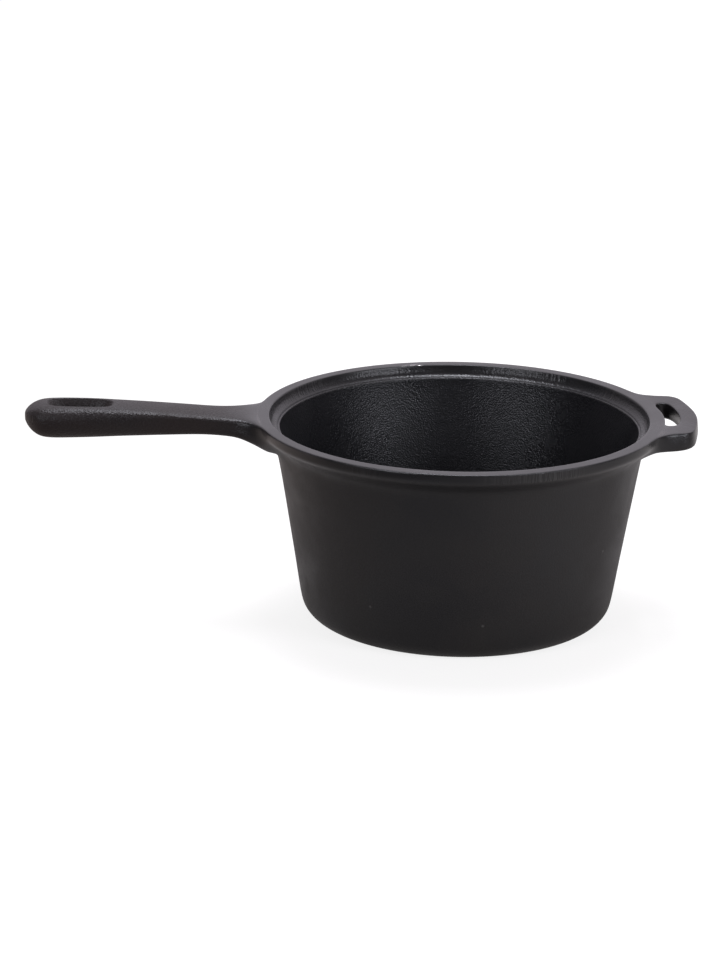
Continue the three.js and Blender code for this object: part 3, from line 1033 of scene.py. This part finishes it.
# %% Iron of the bowl
BOWL_BLACK = (0.0078, 0.0076, 0.0084)
BOWL_BROWN = (0.0142, 0.0126, 0.012)
BOWL_WORN = (0.045, 0.043, 0.043)
SPECK = (0.07, 0.066, 0.062)
INSIDE_BLACK = (0.0115, 0.0115, 0.0128)
INSIDE_POLISH = 0.17
bowl_iron, tree, place, season, mask, colour, shader = start_iron(
    "bowl_iron", BOWL_BLACK, BOWL_BROWN, BOWL_WORN)
inside = mark(tree, "inside")
colour = mix_colour(tree, season["Specks"], colour, SPECK)
colour = mix_colour(tree, inside, colour, INSIDE_BLACK)
wire(tree, colour, shader.inputs["Base Color"])
outside_roughness = patchy_roughness(tree, season, mask, 0.43, 0.58)
smoother = times(tree, inside, INSIDE_POLISH)
wire(tree, math_node(tree, "SUBTRACT", outside_roughness, smoother), shader.inputs["Roughness"])
skin_normal = grain_normal(tree, place, 900, 0.075 * MM)
wire(tree, pebble_normal(tree, place, inside, 1200, 0.2 * MM, skin_normal), shader.inputs["Normal"])
print(len(tree.nodes), "nodes in the bowl's iron")

# %% [markdown]
# On the far side of the rim, a lid or a spoon has rubbed the inner edge through to bare iron, which
# glints. It is the only place where the skin is metal, so Metallic follows the same mask there.

# %% Colour of the rim's iron
RIM_BLACK = (0.0095, 0.0093, 0.0102)
RIM_BROWN = (0.0128, 0.0118, 0.0118)
RIM_WORN = (0.06, 0.057, 0.058)
MARK_GREY = (0.034, 0.032, 0.032)
BARE_IRON = (0.62, 0.6, 0.58)
RUBBED_AT = (-21 * MM, 107 * MM, 117 * MM)
rim_iron, tree, place, season, mask, colour, shader = start_iron(
    "rim_iron", RIM_BLACK, RIM_BROWN, RIM_WORN)
marks = use_group(tree, grind_group, place)["Marks"]
colour = mix_colour(tree, marks, colour, MARK_GREY)
to_rub = add(tree, "ShaderNodeVectorMath", {1: RUBBED_AT}, operation="DISTANCE")
wire(tree, place, to_rub.inputs[0])
near_rub = remap(tree, to_rub.outputs["Value"], 7.2 * MM, 4.2 * MM)
at_edge = remap(tree, mark(tree, "wear"), 0.12, 0.28)
rubbed = times(tree, near_rub, at_edge)
bare = times(tree, rubbed, remap(tree, noise(tree, place, 600, 2), 0.43, 0.53))
wire(tree, mix_colour(tree, bare, colour, BARE_IRON), shader.inputs["Base Color"])
wire(tree, bare, shader.inputs["Metallic"])

# %% Skin of the rim's iron
UNGROUND_RIM = 0.2
BARE_POLISH = 0.1
inside = mark(tree, "inside")
outside = remap(tree, inside, 0, 0.2, 1, 0)
unground = times(tree, below_band(tree, place), outside)
rougher = times(tree, unground, UNGROUND_RIM)
rough = plus(tree, patchy_roughness(tree, season, mask, 0.27, 0.34), rougher)
polish = times(tree, bare, BARE_POLISH)
wire(tree, math_node(tree, "SUBTRACT", rough, polish), shader.inputs["Roughness"])
skin_normal = grain_normal(tree, place, 1000, 0.03 * MM)
ground_normal = bump(tree, marks, 0.22 * MM, skin_normal)
wire(tree, pebble_normal(tree, place, inside, 800, 0.4 * MM, ground_normal), shader.inputs["Normal"])
print(len(tree.nodes), "nodes in the rim's iron")

# %% [markdown]
# The handles are the same casting as the rim, so their finish starts as the rim's at the root and
# gets rougher, browner and more pebbled further out, where hands and oil reach it.

# %% Iron of the handles
HANDLE_WORN = (0.07, 0.057, 0.052)
HANDLE_BROWN = (0.012, 0.0066, 0.0058)
UNGROUND_HANDLE = 0.18
handle_iron, tree, place, season, mask, colour, shader = start_iron(
    "handle_iron", RIM_BLACK, RIM_BROWN, HANDLE_WORN)
grip = mark(tree, "grip")
handled = times(tree, grip, remap(tree, season["Patches"], 0, 1, 0.6, 1))
wire(tree, mix_colour(tree, handled, colour, HANDLE_BROWN), shader.inputs["Base Color"])
near_rim = patchy_roughness(tree, season, mask, 0.27, 0.34)
unground = math_node(tree, "MAXIMUM", grip, below_band(tree, place))
rougher = times(tree, unground, UNGROUND_HANDLE)
wire(tree, plus(tree, near_rim, rougher), shader.inputs["Roughness"])
skin_normal = grain_normal(tree, place, 1000, 0.03 * MM)
wire(tree, pebble_normal(tree, place, grip, 900, 0.26 * MM, skin_normal), shader.inputs["Normal"])

for piece, material in ((bowl, bowl_iron), (rim, rim_iron), (long_handle, handle_iron),
                        (helper_handle, handle_iron)):
    piece.data.materials.append(material)
print("finishes:", bowl_iron.name, rim_iron.name, handle_iron.name)

# %% [markdown]
# ## Camera
# The camera stands where the photograph was taken: about two metres away with a long lens, a little
# above the rim, and almost square to the handles. Its turn is given by three directions of its own.

# %% Place the camera
LENS = 126.375
SENSOR_WIDTH = 36
pan_right, pan_up, pan_ahead = 0.0565, -0.0742, 1.9545
view_height = math.radians(17.42)
view_turn = math.radians(3)
view_roll = math.radians(0.82)
right = Vector((math.cos(view_turn), -math.sin(view_turn), 0))
ahead = Vector((math.sin(view_turn) * math.cos(view_height),
                math.cos(view_turn) * math.cos(view_height), -math.sin(view_height)))
upward = right.cross(ahead)
camera = new_object("camera", bpy.data.cameras.new("camera"))
camera.data.lens = LENS
camera.data.sensor_width = SENSOR_WIDTH
camera.location = -(pan_right * right + pan_up * upward + pan_ahead * ahead)
level_x = math.cos(view_roll) * right + math.sin(view_roll) * upward
level_y = math.cos(view_roll) * upward - math.sin(view_roll) * right
turn = camera.matrix_world.to_3x3()
turn.col[0] = level_x
turn.col[1] = level_y
turn.col[2] = -ahead
camera.rotation_euler = turn.to_euler()
scene.camera = camera
print("camera at", [round(value, 3) for value in camera.location], "metres")

# %% [markdown]
# ## Floor and light
# Black iron shows little of its own colour: most of what one sees is the room in its skin. The tops
# mirror the bright backdrop behind, and the wall mirrors the floor in front. So the room is bright
# behind and dimmer in front and on the left.

# %% Lay the floor
FLOOR_HALF_SIZE = 4
FLOOR_GAP = 0.1 * MM
floor_mesh = bpy.data.meshes.new("studio_floor")
sheet = bmesh.new()
bmesh.ops.create_grid(sheet, x_segments=1, y_segments=1, size=FLOOR_HALF_SIZE)
bmesh.ops.translate(sheet, verts=sheet.verts, vec=(0, 0, -FLOOR_GAP))
sheet.to_mesh(floor_mesh)
sheet.free()
studio_floor = new_object("studio_floor", floor_mesh)
print("a floor", 2 * FLOOR_HALF_SIZE, "metres wide")

# %% [markdown]
# The floor looks different to the iron and to the camera. The iron mirrors it dark in front, paler
# behind and at the sides, and warm on the left. The camera sees white with a faint shadow. Other
# light meets a dull sheet that is nearly black on the left, and from below the floor is clear.

# %% Floor in the iron's reflections
floor_paint = bpy.data.materials.new("floor_paint")
floor_paint.use_nodes = True
tree = floor_paint.node_tree
tree.nodes.remove(tree.nodes["Principled BSDF"])
path = add(tree, "ShaderNodeLightPath").outputs
ground = add(tree, "ShaderNodeTexCoord").outputs["Object"]
spot = split_axes(tree, ground)
to_right = spot["X"]
to_back = spot["Y"]
backwards = remap(tree, to_back, -0.35, 0.25, 0.02, 0.55)
in_front = remap(tree, to_back, -0.2, -0.05, 1, 0)
rightwards = times(tree, remap(tree, to_right, 0, 0.14, 0, 0.3), in_front)
beside = remap(tree, to_back, -0.25, -0.08)
leftwards = times(tree, remap(tree, to_right, -0.1, -0.4, 0, 0.16), beside)
sideways = plus(tree, leftwards, rightwards)
mirrored = plus(tree, path["Is Glossy Ray"], path["Is Transmission Ray"])
shine = times(tree, mirrored, plus(tree, backwards, sideways))

# %% Floor in the camera and in other light
WHITE = (1, 1, 1)
PALE_WARM = (1, 0.94, 0.93)
LEFT_WARM = (1, 0.86, 0.82)
SHEET_GREY = (0.29, 0.28, 0.27)
SHEET_DARK = (0.05, 0.047, 0.045)
unlit = remap(tree, to_right, -0.11, -0.28)
far_off = add(tree, "ShaderNodeVectorMath", operation="LENGTH")
wire(tree, ground, far_off.inputs[0])
away = math_node(tree, "MAXIMUM", unlit, remap(tree, far_off.outputs["Value"], 0.35, 0.8))
seen = times(tree, path["Is Camera Ray"], remap(tree, away, 0, 1, 0.82, 1))
glow = add(tree, "ShaderNodeEmission")
warmth = mix_colour(tree, unlit, PALE_WARM, LEFT_WARM)
wire(tree, mix_colour(tree, path["Is Camera Ray"], warmth, WHITE), glow.inputs["Color"])
wire(tree, plus(tree, seen, shine), glow.inputs["Strength"])
paint = add(tree, "ShaderNodeBsdfDiffuse")
wire(tree, mix_colour(tree, unlit, SHEET_GREY, SHEET_DARK), paint.inputs["Color"])

# %% Join the floor's parts and clear it from below
together = add(tree, "ShaderNodeAddShader")
wire(tree, glow.outputs["Emission"], together.inputs[0])
wire(tree, paint.outputs["BSDF"], together.inputs[1])
from_below = add(tree, "ShaderNodeMixShader")
wire(tree, add(tree, "ShaderNodeNewGeometry").outputs["Backfacing"], from_below.inputs["Fac"])
wire(tree, together.outputs["Shader"], from_below.inputs[1])
wire(tree, add(tree, "ShaderNodeBsdfTransparent").outputs["BSDF"], from_below.inputs[2])
wire(tree, from_below.outputs["Shader"], tree.nodes["Material Output"].inputs["Surface"])
floor_mesh.materials.append(floor_paint)
print(len(tree.nodes), "nodes in the floor's paint")

# %% Light the room
ROOM_TINT = (1, 0.94, 1.03)
scene.view_settings.view_transform = "Standard"
world = bpy.data.worlds.new("studio")
scene.world = world
world.use_nodes = True
tree = world.node_tree
direction = split_axes(tree, add(tree, "ShaderNodeTexCoord").outputs["Generated"])
front_to_back = remap(tree, direction["Y"], -0.2, 0.7, 0.11, 0.88)
left_to_right = remap(tree, direction["X"], -0.75, 0.04, 0.6, 1)
room = times(tree, front_to_back, left_to_right)
to_camera = add(tree, "ShaderNodeLightPath").outputs["Is Camera Ray"]
backdrop = tree.nodes["Background"]
wire(tree, math_node(tree, "MAXIMUM", room, to_camera), backdrop.inputs["Strength"])
wire(tree, mix_colour(tree, to_camera, ROOM_TINT, WHITE), backdrop.inputs["Color"])

# %% Hang the soft lamps
LAMP_SIZE = 0.7
LAMP_DISTANCE = 1.7
LAMP_COLOUR = (0.96, 0.97, 1.06)


def soft_lamp(name, turn_from_camera, height, watts):
    lamp = new_object(name, bpy.data.lights.new(name, "AREA"))
    lamp.data.shape = "SQUARE"
    lamp.data.size = LAMP_SIZE
    lamp.data.energy = watts
    lamp.data.color = LAMP_COLOUR
    side = math.radians(turn_from_camera)
    rise = math.radians(height)
    towards = Vector((math.sin(side) * math.cos(rise), -math.cos(side) * math.cos(rise), math.sin(rise)))
    lamp.location = towards * LAMP_DISTANCE
    lamp.rotation_euler = towards.to_track_quat("Z", "Y").to_euler()
    lamp.visible_camera = False


soft_lamp("right_lamp", 47, 24, 10)
soft_lamp("left_lamp", -43, 24, 7.8)
soft_lamp("top_lamp", 180, 78, 19)
print("three soft lamps and a bright backdrop")
